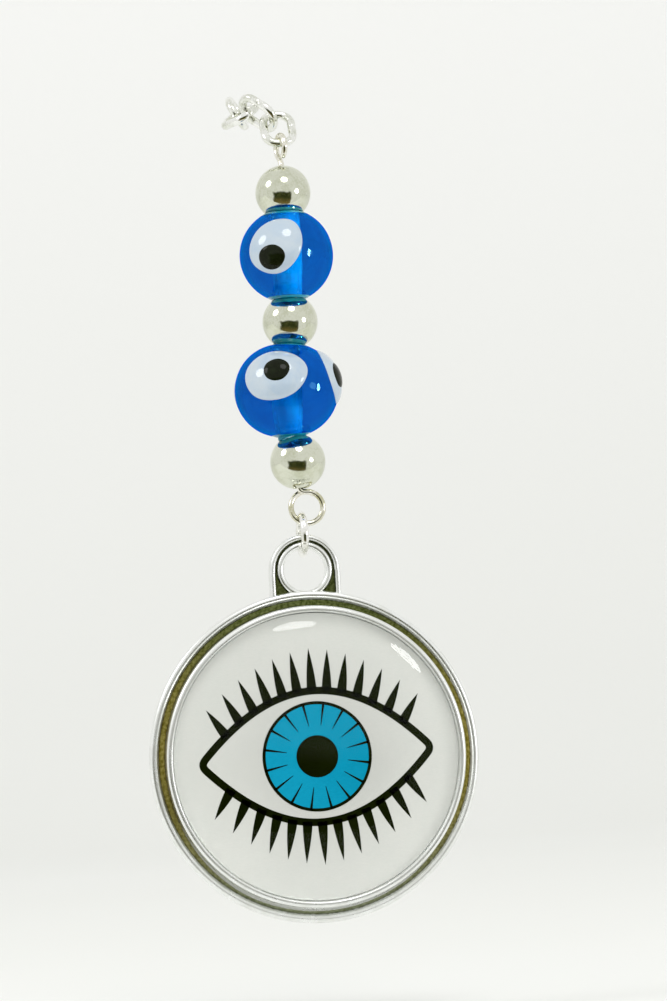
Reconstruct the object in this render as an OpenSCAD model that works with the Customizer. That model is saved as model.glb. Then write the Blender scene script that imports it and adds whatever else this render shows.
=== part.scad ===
// Hanging evil eye ornament: a short oval-link chain, an eye pin strung with
// silver and lampwork glass beads, a jump ring, and a round domed pendant.
// Millimetres. +X right, +Y away from the viewer, +Z up. The pendant faces -Y.
// The origin is the centre of the chain link that bears on the support.

/* [Chain] */
// Diameter of the chain wire
chain_wire = 0.9; // [0.8:0.05:1.0]
// Length of the opening in one link
link_inner_len = 3.2; // [3.0:0.1:3.6]
// Width of the opening in one link
link_inner_wid = 2.0; // [1.9:0.1:2.3]
// Play left between two linked wires
link_play = 0.05; // [0.03:0.01:0.1]
// Lean of the lowest link, back from the vertical
lean_1 = 35; // [0:1:45]
// Turn of the second link against the first
turn_2 = 45; // [30:1:75]
// Turn of the third link against the second
turn_3 = 50; // [20:1:60]
// Turn of the fourth link against the third
turn_4 = 40; // [20:1:50]

/* [Eye pin] */
// Diameter of the eye pin wire
pin_wire = 0.6; // [0.5:0.05:0.7]
// Outside diameter of the upper loop
top_loop_d = 3.0; // [2.8:0.1:3.2]
// Turn of the upper loop about the pin
top_loop_turn = 14; // [0:1:20]
// Outside diameter of the lower loop
low_loop_d = 3.9; // [3.7:0.1:4.0]
// Sideways set of the lower loop
low_loop_x = 0.7; // [0.4:0.1:0.9]
// Depth of the lower loop's centre below the pin's top pivot
low_loop_drop = 38.05; // [38.0:0.05:38.3]

/* [Silver beads] */
// Diameter of a silver bead
silver_d = 5.74; // [5.6:0.02:5.8]
// Bore of a silver bead
silver_bore = 1.3; // [1.0:0.1:1.4]
// Depths of the three silver beads below the pin's top pivot
silver_drops = [5.23, 18.7, 33.26];

/* [Glass beads] */
// Radius of the upper glass bead
upper_r = 4.85; // [4.7:0.05:4.9]
// Depth of the upper glass bead
upper_drop = 11.77; // [11.7:0.01:11.85]
// Half height of the lower glass bead
lower_h = 4.8; // [4.6:0.05:4.9]
// How much wider than high the lower glass bead is, on the radius
lower_extra = 0.6; // [0.3:0.1:0.7]
// Depth of the lower glass bead
lower_drop = 25.8; // [25.7:0.01:25.9]
// Sideways set of the lower glass bead, whose wide bore rests on the pin
lower_x = -0.75; // [-0.75:0.05:0]
// Bore of a glass bead
glass_bore = 2.2; // [2.0:0.1:2.4]
// Height of a white eye above the upper bead
white_rise = 0.24; // [0.15:0.01:0.3]
// Height of a white eye above the lower bead
lower_white_rise = 0.42; // [0.2:0.01:0.45]
// Height of a pupil above the white
pupil_rise = 0.16; // [0.1:0.01:0.2]
// Radius of the whites on the upper bead
upper_white_r = 2.9; // [2.6:0.1:3.0]
// Radius of the whites on the lower bead
lower_white_r = 3.0; // [2.6:0.1:3.1]
// Radius of the pupils
pupil_r = 1.28; // [1.1:0.02:1.4]

/* [Jump ring] */
// Outside diameter of the jump ring
ring_d = 4.8; // [4.7:0.05:4.9]
// Wire diameter of the jump ring
ring_wire = 0.8; // [0.7:0.05:0.85]
// Sideways set of the jump ring
ring_x = 0.05; // [0:0.05:0.3]

/* [Pendant] */
// Outside diameter of the bezel
bezel_d = 34.1; // [33:0.1:35]
// Depth of the pendant's centre below the pin's top pivot
pendant_drop = 63.7; // [63.4:0.1:64.2]
// Opening for the glass
glass_seat_d = 29.6; // [29.4:0.1:29.9]
// Diameter of the glass dome
dome_d = 29.4; // [29.0:0.1:29.4]
// Height of the dome's straight edge
dome_edge = 0.9; // [0.6:0.1:1.2]
// Height of the domed part
dome_rise = 3.1; // [2.5:0.1:4.0]
// Thickness of the printed card
card_t = 0.3; // [0.2:0.05:0.4]
// Thickness of the adhesive
glue_t = 0.15; // [0.1:0.05:0.2]
// Outside diameter of the bail ring
bail_d = 7.4; // [7.2:0.1:7.6]
// Hole of the bail ring
bail_hole = 4.24; // [4.1:0.02:4.3]

/* [Hidden] */
$fn = 64;

// ---- chain layout: each link has a long axis d, a width axis w and a centre c
cw = chain_wire / 2;
arc_r = link_inner_wid / 2 + cw;             // half width of a link's centreline
half_straight = (link_inner_len - link_inner_wid) / 2;
seat = 0.15;                                 // half the straight bearing length at a link's end
corner_r = arc_r - seat;                     // centreline radius of a link's corners
reach = half_straight + arc_r;               // link centre to the end wire's centre
hook = arc_r - 2 * cw - link_play;           // end-arc centre to the next link's wire

function unit(v) = v / norm(v);
d1 = [0, sin(lean_1), cos(lean_1)];
w1 = [1, 0, 0];
w2 = cross(w1, d1);
d2 = cos(turn_2) * d1 - sin(turn_2) * w1;
w3 = cross(w2, d2);
d3 = cos(turn_3) * d2 - sin(turn_3) * w2;
w4 = cross(w3, d3);
d4 = cos(turn_4) * d3 - sin(turn_4) * w3;

// the strand's top pivot, with link 2's centre as the origin
top = -((reach + half_straight) * d1 + (hook + reach) * d2);
c1 = top + reach * d1;
c2 = [0, 0, 0];
b3 = half_straight * d2 + hook * d3;         // link 3's lower wire
c3 = b3 + reach * d3;
b4 = c3 + half_straight * d3 + hook * d4;    // link 4's lower wire
c4 = b4 + reach * d4;

// ---- strand layout
pw = pin_wire / 2;
top_loop_r = top_loop_d / 2 - pw;
top_loop_z = cw + pw + link_play - top_loop_r;
low_loop_r = low_loop_d / 2 - pw;
low_loop_z = -low_loop_drop;
// where the jump ring hangs on the lower loop
ring_dx = low_loop_x - ring_x;
hang_z = low_loop_z - sqrt(low_loop_r * low_loop_r - ring_dx * ring_dx);
rw = ring_wire / 2;
ring_r = ring_d / 2 - rw;
ring_z = hang_z + pw + rw + link_play - ring_r;
ring_low_z = ring_z - ring_r;
ring_seat = 0.1;                             // half the straight bearing length

// ---- pendant layout, about its own centre, h forwards
bezel_r = bezel_d / 2;
seat_r = glass_seat_d / 2;
dome_r = dome_d / 2;
plate_back = -0.75;
floor_h = 0.45;
card_h = floor_h + glue_t;
glass_h = card_h + card_t;
edge_h = glass_h + dome_edge;
cap_R = (dome_r * dome_r + dome_rise * dome_rise) / (2 * dome_rise);
bail_r = bail_d / 2;
hole_r = bail_hole / 2;
bail_t = 0.75;                               // half thickness of the bail
bail_z = ring_low_z + rw + link_play + 0.037 - hole_r + pendant_drop;

// points along an arc, centre c, radius r, from a0 to a1
function arc(c, r, a0, a1, n = 8) =
    [for (i = [0:n]) c + r * [cos(a0 + (a1 - a0) * i / n), sin(a0 + (a1 - a0) * i / n)]];

module place(d, w, c) {
    m = cross(d, w);
    multmatrix([[w[0], m[0], d[0], c[0]],
                [w[1], m[1], d[1], c[1]],
                [w[2], m[2], d[2], c[2]],
                [0, 0, 0, 1]]) children();
}

// a full ring of wire in the XZ plane
module wire_ring(r, wire) {
    rotate([90, 0, 0]) rotate_extrude() translate([r, 0]) circle(r = wire);
}

// part of a ring in the XZ plane, from angle a0 (0 is +X, 90 is +Z) over da
module wire_arc(r, wire, a0, da) {
    rotate([90, 0, 0]) rotate([0, 0, a0]) rotate_extrude(angle = da)
        translate([r, 0]) circle(r = wire);
}

module link_shape() {
    side = half_straight + seat;
    for (s = [-1, 1]) {
        translate([s * arc_r, 0, -side]) cylinder(r = cw, h = 2 * side);
        translate([-seat, 0, s * reach]) rotate([0, 90, 0]) cylinder(r = cw, h = 2 * seat);
    }
    translate([seat, 0, side]) wire_arc(corner_r, cw, 0, 90);
    translate([-seat, 0, side]) wire_arc(corner_r, cw, 90, 90);
    translate([-seat, 0, -side]) wire_arc(corner_r, cw, 180, 90);
    translate([seat, 0, -side]) wire_arc(corner_r, cw, 270, 90);
}

module chain_link_1() { color("silver") place(d1, w1, c1) link_shape(); }
module chain_link_2() { color("silver") place(d2, w2, c2) link_shape(); }
module chain_link_3() { color("silver") place(d3, w3, c3) link_shape(); }
module chain_link_4() { color("silver") place(d4, w4, c4) link_shape(); }

// ---- strand pieces
module on_strand() { translate(top) children(); }

module eye_pin() {
    color("gainsboro") on_strand() {
        // upper loop, edge on, with its cut end beside the neck
        translate([0, 0, top_loop_z]) rotate([0, 0, 90 + top_loop_turn])
            wire_arc(top_loop_r, pw, -90, 345);
        // stem
        stem_top = top_loop_z - top_loop_r;
        stem_low = low_loop_z + sqrt(low_loop_r * low_loop_r - low_loop_x * low_loop_x);
        translate([0, 0, stem_low]) cylinder(r = pw, h = stem_top - stem_low);
        translate([0, 0, stem_top]) sphere(r = pw);
        translate([0, 0, stem_low]) sphere(r = pw);
        // lower loop, face on, a turn and a fifth
        translate([low_loop_x, 0, low_loop_z]) wire_ring(low_loop_r, pw);
        translate([low_loop_x, pin_wire - 0.05, low_loop_z])
            wire_arc(low_loop_r, pw, -38, 95);
    }
}

module silver_bead(i) {
    color("silver") on_strand() translate([0, 0, -silver_drops[i]]) difference() {
        sphere(d = silver_d);
        translate([0, 0, -silver_d]) cylinder(d = silver_bore, h = 2 * silver_d);
    }
}
module silver_bead_top() { silver_bead(0); }
module silver_bead_middle() { silver_bead(1); }
module silver_bead_bottom() { silver_bead(2); }

// room for the silver beads at the glass beads' dimpled ends
module dimples() {
    for (z = silver_drops) translate([0, 0, -z]) sphere(d = silver_d + 0.16);
}

module upper_body() { translate([0, 0, -upper_drop]) sphere(r = upper_r); }

module lower_body() {
    translate([lower_x, 0, -lower_drop]) rotate_extrude() {
        intersection() {
            translate([lower_extra, 0]) circle(r = lower_h);
            translate([0, -6]) square([7, 12]);
        }
        translate([0, -lower_h]) square([lower_extra, 2 * lower_h]);
    }
}

module upper_glass_bead() {
    color("royalblue") on_strand() difference() {
        upper_body();
        dimples();
        translate([0, 0, -upper_drop - 6]) cylinder(d = glass_bore, h = 12);
    }
}

module lower_glass_bead() {
    color("mediumblue") on_strand() difference() {
        union() {
            lower_body();
            // small lip at the lower end
            translate([-0.35, 0, -lower_drop - lower_h - 0.2]) rotate_extrude()
                translate([2.15, 0]) circle(r = 0.38);
        }
        dimples();
        translate([lower_x, 0, -lower_drop - 6]) cylinder(d = glass_bore, h = 12);
    }
}

// distance from the bead's centre to a blob's centre, for a blob of footprint a
// that rises h above a ball of radius r
function blob_c(r, a, h) = (pow(r + h, 2) - r * r) / (2 * (r + h - sqrt(r * r - a * a)));

// a ball whose top stands h above the bead, at azimuth az and elevation el
module blob(r, a, h, az, el) {
    c = blob_c(r, a, h);
    rotate([0, 0, az]) rotate([el, 0, 0])
        translate([0, -c, 0]) sphere(r = r + h - c, $fn = 180);
}

// azimuth and elevation of each white and its pupil: front, right, left
upper_eyes = [[-18.4, -5.4, -24, 7.5], [122, -6, 118, 0], [-140, -10, -137, -5]];
lower_eyes = [[-15, -12.8, -14.5, -18.7], [80, -15.5, 72, -12.5], [-137, -4, -134, -8]];

module upper_white(i) {
    e = upper_eyes[i];
    color("white") on_strand() difference() {
        translate([0, 0, -upper_drop]) blob(upper_r, upper_white_r, white_rise, e[0], e[1]);
        upper_body($fn = 180);
    }
}
module upper_pupil(i) {
    e = upper_eyes[i];
    color("black") on_strand() difference() {
        translate([0, 0, -upper_drop])
            blob(upper_r + white_rise * 0.85, pupil_r, pupil_rise, e[2], e[3]);
        translate([0, 0, -upper_drop]) blob(upper_r, upper_white_r, white_rise, e[0], e[1]);
    }
}
module lower_white(i) {
    e = lower_eyes[i];
    color("white") on_strand() difference() {
        translate([lower_x, 0, -lower_drop])
            blob(lower_h + lower_extra * 0.9, lower_white_r, lower_white_rise, e[0], e[1]);
        lower_body($fn = 180);
        dimples($fn = 180);
    }
}
module lower_pupil(i) {
    e = lower_eyes[i];
    color("black") on_strand() difference() {
        translate([lower_x, 0, -lower_drop])
            blob(lower_h + lower_extra * 0.9 + lower_white_rise * 0.85, pupil_r, pupil_rise, e[2], e[3]);
        translate([lower_x, 0, -lower_drop])
            blob(lower_h + lower_extra * 0.9, lower_white_r, lower_white_rise, e[0], e[1]);
    }
}
module upper_white_front() { upper_white(0); }
module upper_white_right() { upper_white(1); }
module upper_white_left() { upper_white(2); }
module upper_pupil_front() { upper_pupil(0); }
module upper_pupil_right() { upper_pupil(1); }
module upper_pupil_left() { upper_pupil(2); }
module lower_white_front() { lower_white(0); }
module lower_white_right() { lower_white(1); }
module lower_white_left() { lower_white(2); }
module lower_pupil_front() { lower_pupil(0); }
module lower_pupil_right() { lower_pupil(1); }
module lower_pupil_left() { lower_pupil(2); }

module jump_ring() {
    color("silver") on_strand() translate([ring_x, 0, ring_z]) rotate([0, 0, 90]) {
        translate([ring_seat, 0, 0]) wire_arc(ring_r, rw, -90, 180);
        translate([-ring_seat, 0, 0]) wire_arc(ring_r, rw, 90, 180);
        for (s = [-1, 1])
            translate([-ring_seat, 0, s * ring_r]) rotate([0, 90, 0])
                cylinder(r = rw, h = 2 * ring_seat);
    }
}

// ---- pendant pieces, turned about the Y axis
module on_pendant() { on_strand() translate([ring_x, 0, -pendant_drop]) children(); }
module turned() { rotate([90, 0, 0]) rotate_extrude($fn = 128) children(); }

bezel_profile = concat(
    [[0, plate_back]],
    arc([bezel_r - 0.4, plate_back + 0.4], 0.4, -90, 0),
    arc([bezel_r - 0.42, 0.5], 0.42, 0, 150),
    [[bezel_r - 0.98, floor_h], [seat_r + 0.66, floor_h]],
    arc([seat_r + 0.32, 2.0], 0.34, 0, 90),
    arc([seat_r + 0.22, 2.12], 0.22, 90, 180),
    [[seat_r, floor_h], [0, floor_h]]);

// one side of the bail's section: rounded inner rim, channel, rounded outer rim
bail_half = concat(
    arc([hole_r + 0.45, 0.30], 0.45, 180, 90),
    arc([hole_r + 0.45, 0.45], 0.3, 90, 20, 5),
    [[hole_r + 0.80, 0.42], [bail_r - 0.78, 0.42]],
    arc([bail_r - 0.45, 0.45], 0.3, 160, 90, 5),
    arc([bail_r - 0.40, 0.35], 0.4, 90, 0));
bail_profile = concat(bail_half,
    [for (i = [len(bail_half) - 1:-1:0]) [bail_half[i][0], -bail_half[i][1]]]);
// a leg's section: the outer rim alone
leg_half = concat(
    [[bail_r - 0.78, 0.42]],
    arc([bail_r - 0.45, 0.45], 0.3, 160, 90, 5),
    arc([bail_r - 0.40, 0.35], 0.4, 90, 0));
leg_profile = concat(leg_half,
    [for (i = [len(leg_half) - 1:-1:0]) [leg_half[i][0], -leg_half[i][1]]]);

module pendant_bezel() {
    color("lightgray") on_pendant() {
        turned() polygon(bezel_profile);
        difference() {
            union() {
                // the outer rim runs straight down into the tray's rim on both sides
                for (s = [0, 1]) mirror([s, 0, 0])
                    translate([0, 0, leg_foot]) linear_extrude(height = bail_z - leg_foot)
                        polygon(leg_profile);
                // sunk web between the legs
                rotate([90, 0, 0]) linear_extrude(height = 0.8, center = true)
                    polygon([[-leg_x, bail_z - 0.4], [-leg_x, leg_foot], [leg_x, leg_foot], [leg_x, bail_z - 0.4]]);
            }
            translate([0, 0, bail_z]) rotate([90, 0, 0])
                cylinder(r = hole_r + 0.03, h = 4, center = true);
        }
        // the bail's ring, whose bore is left as turned
        translate([0, 0, bail_z]) rotate([90, 0, 0]) rotate_extrude() polygon(bail_profile);
    }
}
leg_foot = 16.3;
leg_x = bail_r - 0.5;

module adhesive_pad() {
    color("beige") on_pendant() rotate([90, 0, 0])
        translate([0, 0, floor_h]) cylinder(r = dome_r - 0.3, h = glue_t);
}
module printed_card() {
    color("whitesmoke") on_pendant() rotate([90, 0, 0])
        translate([0, 0, card_h]) cylinder(r = dome_r - 0.05, h = card_t);
}
module glass_dome() {
    color([0.85, 0.92, 0.95, 0.4]) on_pendant() rotate([90, 0, 0]) {
        translate([0, 0, glass_h]) cylinder(r = dome_r, h = dome_edge);
        intersection() {
            translate([0, 0, edge_h]) cylinder(r = dome_r, h = dome_rise + 1);
            translate([0, 0, edge_h + dome_rise - cap_R]) sphere(r = cap_R, $fn = 160);
        }
    }
}

chain_link_1();
chain_link_2();
chain_link_3();
chain_link_4();
eye_pin();
silver_bead_top();
silver_bead_middle();
silver_bead_bottom();
upper_glass_bead();
upper_white_front();
upper_white_right();
upper_white_left();
upper_pupil_front();
upper_pupil_right();
upper_pupil_left();
lower_glass_bead();
lower_white_front();
lower_white_right();
lower_white_left();
lower_pupil_front();
lower_pupil_right();
lower_pupil_left();
jump_ring();
pendant_bezel();
adhesive_pad();
printed_card();
glass_dome();
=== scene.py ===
import math

import bpy
import numpy as np
from mathutils import Matrix, Vector


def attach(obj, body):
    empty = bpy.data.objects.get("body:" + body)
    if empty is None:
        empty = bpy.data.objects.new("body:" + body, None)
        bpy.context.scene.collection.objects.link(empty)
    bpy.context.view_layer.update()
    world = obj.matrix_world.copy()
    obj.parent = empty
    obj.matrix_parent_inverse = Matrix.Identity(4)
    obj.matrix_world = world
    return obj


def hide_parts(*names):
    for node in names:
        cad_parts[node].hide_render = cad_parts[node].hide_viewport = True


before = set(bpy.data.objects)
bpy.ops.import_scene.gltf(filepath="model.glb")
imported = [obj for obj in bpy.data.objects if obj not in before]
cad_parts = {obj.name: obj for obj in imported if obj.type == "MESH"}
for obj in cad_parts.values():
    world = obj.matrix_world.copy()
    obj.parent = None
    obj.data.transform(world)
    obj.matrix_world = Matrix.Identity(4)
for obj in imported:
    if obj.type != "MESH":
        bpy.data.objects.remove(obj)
MM = 0.001
rng = np.random.default_rng(7)

# ------------------------------------------------------------------ layout, mm
TURN_2 = 45
CW, ARC_R, HALF_ST, SEAT = 0.45, 1.45, 0.6, 0.15
REACH, HOOK = 2.05, 0.5
PW, RW = 0.3, 0.4
SILVER_R, SILVER_BORE = 2.87, 0.65
SILVER_Z = [-5.23, -18.7, -33.26]
UP_Z, UP_R = -11.77, 4.85
LOW_Z, LOW_H, LOW_EX, LOW_X = -25.8, 4.8, 0.6, -0.75
BORE = 1.1
LOOP_X, LOOP_Z, LOOP_R = 0.7, -38.05, 1.65
RING_X, RING_Z, RING_R = 0.05, -40.8166, 2.0
BAIL_Z, HOLE_R, BAIL_R = 19.25, 2.12, 3.7
BEZ_R, SEAT_R, DOME_R = 17.05, 14.8, 14.7
PLATE_BACK, FLOOR_H, CARD_H, GLASS_H = -0.75, 0.45, 0.60, 0.90
EDGE_H, DOME_RISE = 1.80, 3.1


def unit(v):
    v = np.asarray(v, float)
    return v / np.linalg.norm(v)


def dirs():
    r = math.radians
    d1 = np.array([0, math.sin(r(35)), math.cos(r(35))])
    w1 = np.array([1.0, 0, 0])
    w2 = np.cross(w1, d1)
    d2 = math.cos(r(TURN_2)) * d1 - math.sin(r(TURN_2)) * w1
    w3 = np.cross(w2, d2)
    d3 = math.cos(r(50)) * d2 - math.sin(r(50)) * w2
    w4 = np.cross(w3, d3)
    d4 = math.cos(r(40)) * d3 - math.sin(r(40)) * w3
    return (d1, w1), (d2, w2), (d3, w3), (d4, w4)


(d1, w1), (d2, w2), (d3, w3), (d4, w4) = dirs()
TOP = -((REACH + HALF_ST) * d1 + (HOOK + REACH) * d2)
PEND = TOP + np.array([0.05, 0.0, -63.7])
c1 = TOP + REACH * d1
c2 = np.zeros(3)
c3 = HALF_ST * d2 + HOOK * d3 + REACH * d3
c4 = c3 + HALF_ST * d3 + HOOK * d4 + REACH * d4


# ------------------------------------------------------------------ mesh helpers
def make(name, verts, faces, smooth=True, sharp=None, mats=None, index=None):
    me = bpy.data.meshes.new(name)
    me.from_pydata([tuple(float(c) * MM for c in v) for v in verts], [], faces)
    me.validate()
    me.update()
    ob = bpy.data.objects.new(name, me)
    bpy.context.scene.collection.objects.link(ob)
    if smooth:
        me.polygons.foreach_set("use_smooth", [True] * len(me.polygons))
        if sharp:
            me.set_sharp_from_angle(angle=math.radians(sharp))
    for m in mats or []:
        me.materials.append(m)
    if index is not None:
        me.polygons.foreach_set("material_index", index)
    return ob


def grid_faces(n, m, close_n, close_m, start=0):
    """Quads of an n by m grid of vertices, row after row."""
    out = []
    for i in range(n if close_n else n - 1):
        for j in range(m if close_m else m - 1):
            a = i * m + j
            b = i * m + (j + 1) % m
            c = ((i + 1) % n) * m + (j + 1) % m
            d = ((i + 1) % n) * m + j
            out.append((start + a, start + b, start + c, start + d))
    return out


def tube(path, radius, closed=False, sides=28, flat=1.0, flat_dir=None):
    """A wire along a path. Round ends where it is open. flat and flat_dir are not used."""
    P = np.asarray(path, float)
    n = len(P)
    T = np.zeros_like(P)
    if closed:
        T = np.roll(P, -1, 0) - np.roll(P, 1, 0)
    else:
        T[1:-1] = P[2:] - P[:-2]
        T[0], T[-1] = P[1] - P[0], P[-1] - P[-2]
    T /= np.linalg.norm(T, axis=1)[:, None]
    ref = np.array([0, 1.0, 0]) if abs(T[0][1]) < 0.9 else np.array([1.0, 0, 0])
    U = np.zeros_like(P)
    u = unit(ref - T[0] * ref.dot(T[0]))
    for i in range(n):
        u = unit(u - T[i] * u.dot(T[i]))
        U[i] = u
    twist = 0.0
    if closed:
        u2 = unit(U[-1] - T[0] * U[-1].dot(T[0]))
        twist = math.atan2(np.dot(np.cross(u2, U[0]), T[0]), u2.dot(U[0]))
    R = np.broadcast_to(np.asarray(radius, float), (n,)).copy()
    verts, rows = [], 0
    ends = []
    if not closed:
        k = 5
        for e in range(k):
            a = math.pi / 2 * (1 - e / k)
            ends.append((0, -math.sin(a) * 0.45, math.cos(a) * 0.55 + 0.45 if e else 0.5))
    seq = []
    if not closed:
        for z, s in [(-0.30, 0.62), (-0.22, 0.82), (-0.10, 0.95)]:
            seq.append((P[0] + T[0] * z * R[0], T[0], U[0], R[0] * s))
    for i in range(n):
        V = np.cross(T[i], U[i])
        a = twist * i / n
        uu = U[i] * math.cos(a) + V * math.sin(a)
        seq.append((P[i], T[i], uu, R[i]))
    if not closed:
        for z, s in [(0.10, 0.95), (0.22, 0.82), (0.30, 0.62)]:
            seq.append((P[-1] + T[-1] * z * R[-1], T[-1], U[-1], R[-1] * s))
    for p, t, u, r in seq:
        v = np.cross(t, u)
        for j in range(sides):
            a = 2 * math.pi * j / sides
            verts.append(p + r * (math.cos(a) * u + math.sin(a) * v))
    m = len(seq)
    faces = [tuple(reversed(f)) for f in grid_faces(m, sides, closed, True)]
    faces = [tuple(reversed(f)) for f in faces]
    if not closed:
        faces.append(tuple(reversed(range(sides))))
        faces.append(tuple((m - 1) * sides + j for j in range(sides)))
    return np.array(verts), faces


def lathe(profile, seg=192, closed=True):
    """Turns a profile of (r, h) about h. closed: the profile is a loop away from the axis. Otherwise its ends lie on the axis."""
    prof = [tuple(p) for p in profile]
    if closed:
        verts = [(r * math.cos(2 * math.pi * i / seg), r * math.sin(2 * math.pi * i / seg), h)
                 for i in range(seg) for r, h in prof]
        return np.array(verts), grid_faces(seg, len(prof), True, True)
    inner = prof[1:-1]
    verts = [(r * math.cos(2 * math.pi * i / seg), r * math.sin(2 * math.pi * i / seg), h)
             for i in range(seg) for r, h in inner]
    faces = grid_faces(seg, len(inner), True, False)
    a, b = len(verts), len(verts) + 1
    verts += [(0, 0, prof[0][1]), (0, 0, prof[-1][1])]
    m = len(inner)
    for i in range(seg):
        k = (i + 1) % seg
        faces.append((a, i * m, k * m))
        faces.append((b, k * m + m - 1, i * m + m - 1))
    return np.array(verts), faces


def outward(ob):
    """Turns a closed mesh's faces outwards."""
    import bmesh
    bm = bmesh.new()
    bm.from_mesh(ob.data)
    bmesh.ops.remove_doubles(bm, verts=bm.verts, dist=1e-8)
    bmesh.ops.recalc_face_normals(bm, faces=bm.faces)
    bm.to_mesh(ob.data)
    bm.free()
    ob.data.update()
    return ob


def to_pendant(V):
    """Pendant axes (right, up, forward) to the frame."""
    V = np.asarray(V, float)
    return np.stack([PEND[0] + V[:, 0], PEND[1] - V[:, 2], PEND[2] + V[:, 1]], 1)


def arc(cx, cy, r, a0, a1, n=10):
    return [(cx + r * math.cos(math.radians(a0 + (a1 - a0) * i / n)),
             cy + r * math.sin(math.radians(a0 + (a1 - a0) * i / n))) for i in range(n + 1)]


def smooth_noise(x, y, z, seed=0.0):
    """Soft lumps between -1 and 1, no period that shows."""
    s = seed
    return (np.sin(1.13 * x + 0.7 * y + s) + np.sin(0.83 * y - 1.21 * z + 1.7 * s)
            + np.sin(1.07 * z + 0.9 * x + 2.9 * s) + 0.5 * np.sin(2.3 * x - 1.9 * z + 0.4 * s)) / 3.5


# ------------------------------------------------------------------ materials
class Nodes:
    def __init__(self, name):
        self.mat = bpy.data.materials.new(name)
        self.mat.use_nodes = True
        self.t = self.mat.node_tree
        self.t.nodes.clear()
        self.out = self.t.nodes.new("ShaderNodeOutputMaterial")
        self.tc = self.t.nodes.new("ShaderNodeTexCoord")

    def node(self, kind, **kw):
        n = self.t.nodes.new(kind)
        for k, v in kw.items():
            setattr(n, k, v)
        return n

    def link(self, a, b):
        self.t.links.new(a, b)

    def mapped(self, scale=(1, 1, 1), rot=(0, 0, 0), loc=(0, 0, 0)):
        m = self.node("ShaderNodeMapping")
        m.inputs["Scale"].default_value = tuple(s / MM for s in scale)
        m.inputs["Rotation"].default_value = rot
        m.inputs["Location"].default_value = loc
        self.link(self.tc.outputs["Object"], m.inputs["Vector"])
        return m.outputs["Vector"]

    def noise(self, vec, scale=1.0, detail=3.0, rough=0.5, dist=0.0):
        n = self.node("ShaderNodeTexNoise")
        n.inputs["Scale"].default_value = scale
        n.inputs["Detail"].default_value = detail
        n.inputs["Roughness"].default_value = rough
        n.inputs["Distortion"].default_value = dist
        self.link(vec, n.inputs["Vector"])
        return n.outputs["Fac"]

    def ramp(self, fac, stops):
        r = self.node("ShaderNodeValToRGB")
        els = r.color_ramp.elements
        while len(els) < len(stops):
            els.new(0.5)
        for e, (p, c) in zip(els, stops):
            e.position = p
            e.color = (*c, 1) if len(c) == 3 else c
        self.link(fac, r.inputs["Fac"])
        return r.outputs["Color"]

    def span(self, fac, a, b, lo, hi):
        m = self.node("ShaderNodeMapRange")
        m.inputs["From Min"].default_value = a
        m.inputs["From Max"].default_value = b
        m.inputs["To Min"].default_value = lo
        m.inputs["To Max"].default_value = hi
        self.link(fac, m.inputs["Value"])
        return m.outputs["Result"]

    def math(self, op, a, b):
        m = self.node("ShaderNodeMath", operation=op)
        for i, v in enumerate((a, b)):
            if isinstance(v, (int, float)):
                m.inputs[i].default_value = v
            else:
                self.link(v, m.inputs[i])
        return m.outputs[0]

    def bump(self, height, strength, distance_mm):
        b = self.node("ShaderNodeBump")
        b.inputs["Strength"].default_value = strength
        b.inputs["Distance"].default_value = distance_mm * MM
        self.link(height, b.inputs["Height"])
        return b.outputs["Normal"]

    def principled(self, **kw):
        p = self.node("ShaderNodeBsdfPrincipled")
        for k, v in kw.items():
            key = k.replace("_", " ")
            sock = [s for s in p.inputs if s.name.lower() == key.lower()][0]
            if isinstance(v, (int, float, tuple)):
                sock.default_value = v
            else:
                self.link(v, sock)
        return p

    def done(self, shader):
        self.link(shader, self.out.inputs["Surface"])
        return self.mat


def plated(name, light, dark, rough=(0.07, 0.17), scratch=(30, 1.2, 1.2), tarnish=0.55, bump=0.012):
    """Polished plate: patches of thin tarnish, fine wiping marks and a faint orange peel."""
    n = Nodes(name)
    broad = n.noise(n.mapped(), scale=0.55, detail=4, rough=0.6, dist=0.6)
    fine = n.noise(n.mapped(scratch, rot=(0.3, 0.5, 0.8)), scale=1.0, detail=5, rough=0.7)
    spots = n.noise(n.mapped(), scale=6.0, detail=2, rough=0.5)
    mixed = n.math("ADD", n.math("MULTIPLY", broad, 0.7), n.math("MULTIPLY", spots, 0.3))
    col = n.ramp(mixed, [(0.30, dark), (tarnish, light), (1.0, light)])
    r1 = n.span(mixed, 0.3, 0.7, rough[1], rough[0])
    r2 = n.span(fine, 0.55, 0.8, 0.0, 0.10)
    peel = n.noise(n.mapped(), scale=2.2, detail=2)
    hgt = n.math("ADD", n.math("MULTIPLY", fine, 0.25), peel)
    p = n.principled(Base_Color=col, Metallic=1.0, Roughness=n.math("ADD", r1, r2),
                     Normal=n.bump(hgt, 0.35, bump))
    return n.done(p.outputs[0])


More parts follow.
